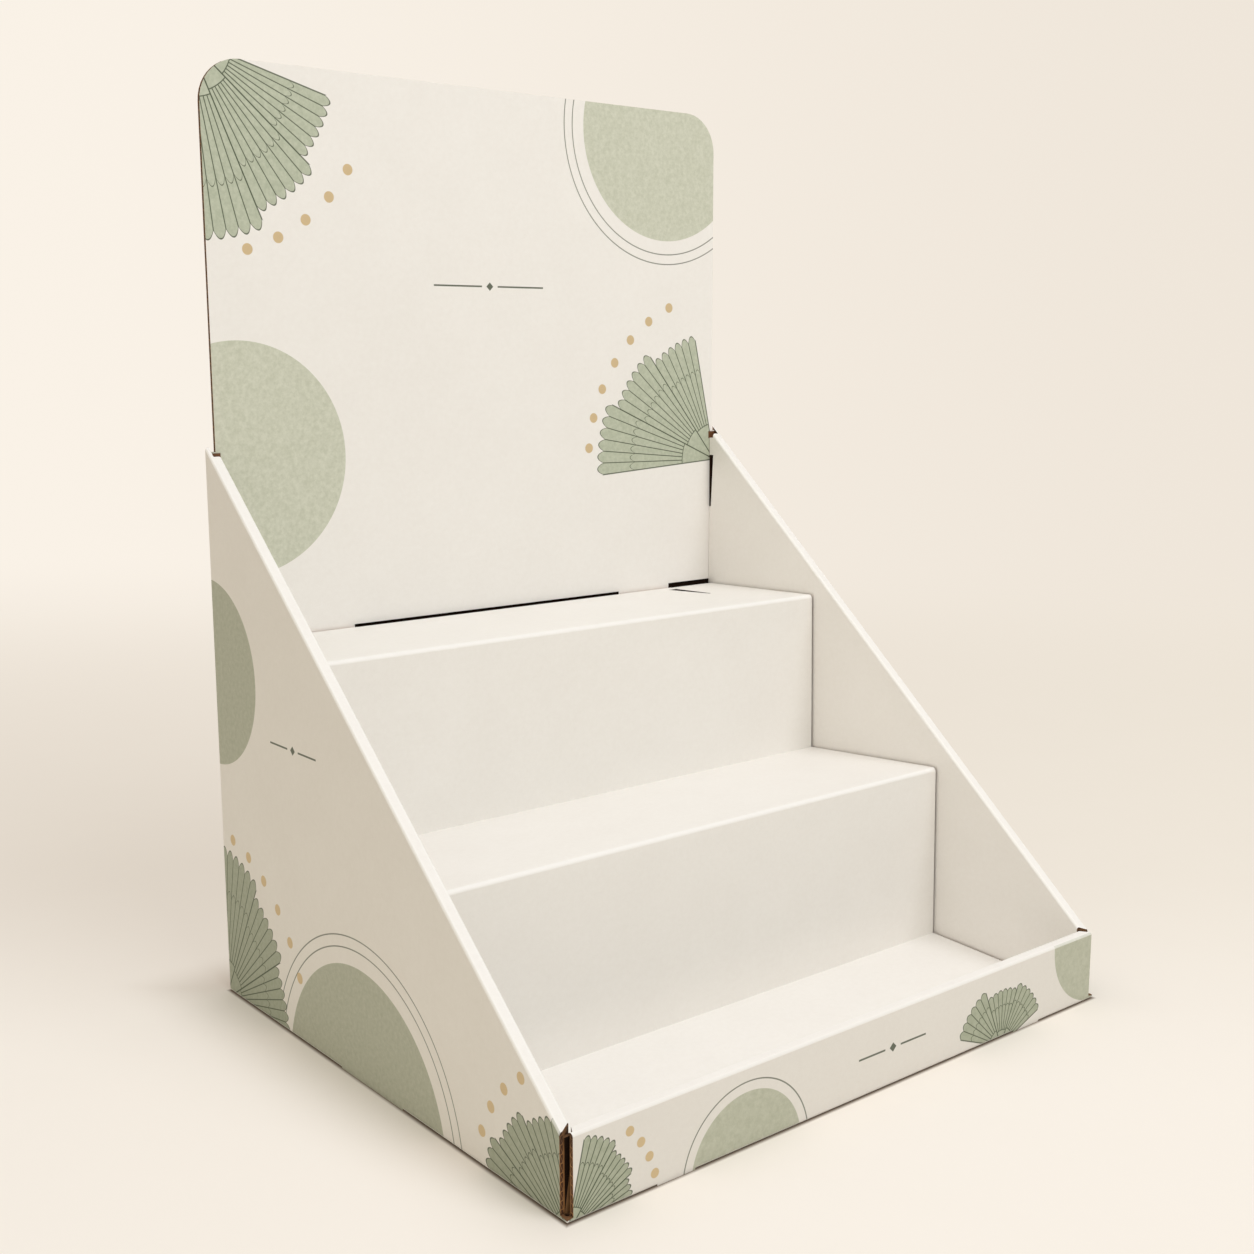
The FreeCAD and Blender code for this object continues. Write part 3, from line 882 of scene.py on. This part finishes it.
def makeFloor():
    bpy.ops.object.select_all(action="DESELECT")
    bpy.ops.mesh.primitive_circle_add(vertices=128, radius=studio["floorRadius"],
                                      fill_type="NGON", location=(0, 0, 0))
    floor = bpy.context.object
    floor.name = "studioFloor"
    material, shader, place = startMaterial("studioFloor")
    tree = place.tree
    x, y, _ = splitAxes(place)
    halfWidth, halfDepth = studio["halfStand"]
    outside = (abs(x) - halfWidth) | (abs(y) - halfDepth)
    grain = place.noise(0.02, 3.0).tint(studio["floor"], studio["floorGrain"])
    # painted shadow: a thin dark contact line in the floor's colour along the stand's footprint
    line = outside.below(studio["contactShadowLine"], 1.1) * 0.9
    plug(shader, "Base Color", line.tint(grain, studio["contact"]))
    shader.inputs["Roughness"].default_value = studio["floorRoughness"]
    # painted shade: bright floor glow in front, darker where a sweep would turn up, then the backdrop
    distance = (x * x + y * y).root() * mm
    direction = place.scaled(1 / (distance * perMetre + studio["sweepReach"]))
    _, behind = sweepAxes()
    depth = place.alongAxis(behind) * mm
    sweepShade = sweepColour(direction, "sweepShadeLeft", "sweepShadeRight")
    backdrop = sweepColour(direction, "backdropLeft", "backdropRight")
    colour = depth.ease(studio["sweepShadeStart"], studio["sweepShadeFull"]).tint(studio["frontGlow"], sweepShade)
    colour = depth.ease(studio["sweepShadeFull"], studio["backdropFull"]).tint(colour, backdrop)
    # the floor turns into that glow further out, and keeps the shadow near the stand
    contact = outside.ease(0.0, studio["contactReach"]) * studio["glowNear"]
    fade = distance.ease(studio["fadeStart"], studio["fadeEnd"]) * (1 - studio["glowNear"]) + contact
    glow = place.make("ShaderNodeEmission", None, {"Color": colour, "Strength": 1.0})
    lit = Wire(tree, shader.outputs[0])
    mixed = place.make("ShaderNodeMixShader", None, {0: fade * paleRays(tree), 1: lit, 2: glow})
    tree.links.new(mixed.socket, tree.nodes["Material Output"].inputs["Surface"])
    floor.data.materials.append(material)


def makeSky():
    world = bpy.data.worlds.new("studioSky")
    scene.world = world
    world.use_nodes = True
    tree = world.node_tree
    tree.nodes.clear()
    output = tree.nodes.new("ShaderNodeOutputWorld")
    rays = paleRays(tree)
    direction = Wire(tree, tree.nodes.new("ShaderNodeTexCoord").outputs["Generated"])
    colour = studio["skyLight"]
    for towards, glow in studio["skyGlows"]:
        facing = direction.alongAxis(tuple(Vector(towards).normalized()))
        facing = facing.maths("MAXIMUM", facing, 0.0)
        part = (facing * facing * facing).grey()
        colour = part.make("ShaderNodeVectorMath", {"operation": "MULTIPLY_ADD"},
                           {0: part, 1: glow, 2: colour})
    light = rays.make("ShaderNodeBackground", None, {"Color": colour, "Strength": 1.0})
    backdrop = sweepColour(direction, "backdropLeft", "backdropRight")
    seen = rays.make("ShaderNodeBackground", None, {"Color": backdrop, "Strength": 1.0})
    mixed = rays.make("ShaderNodeMixShader", None, {0: rays, 1: light, 2: seen})
    tree.links.new(mixed.socket, output.inputs["Surface"])


def makeSoftbox():
    data = bpy.data.lights.new("softbox", "AREA")
    data.shape = "DISK"
    data.size = softbox["size"]
    data.energy = softbox["watts"]
    data.color = softbox["colour"]
    light = bpy.data.objects.new("softbox", data)
    scene.collection.objects.link(light)
    light.location = softbox["at"]
    aim = Vector(softbox["aim"]) - Vector(softbox["at"])
    light.rotation_euler = aim.to_track_quat("-Z", "Y").to_euler()


makeFloor()
makeSky()
makeSoftbox()
scene.view_settings.view_transform = "Standard"
print("studio ready")
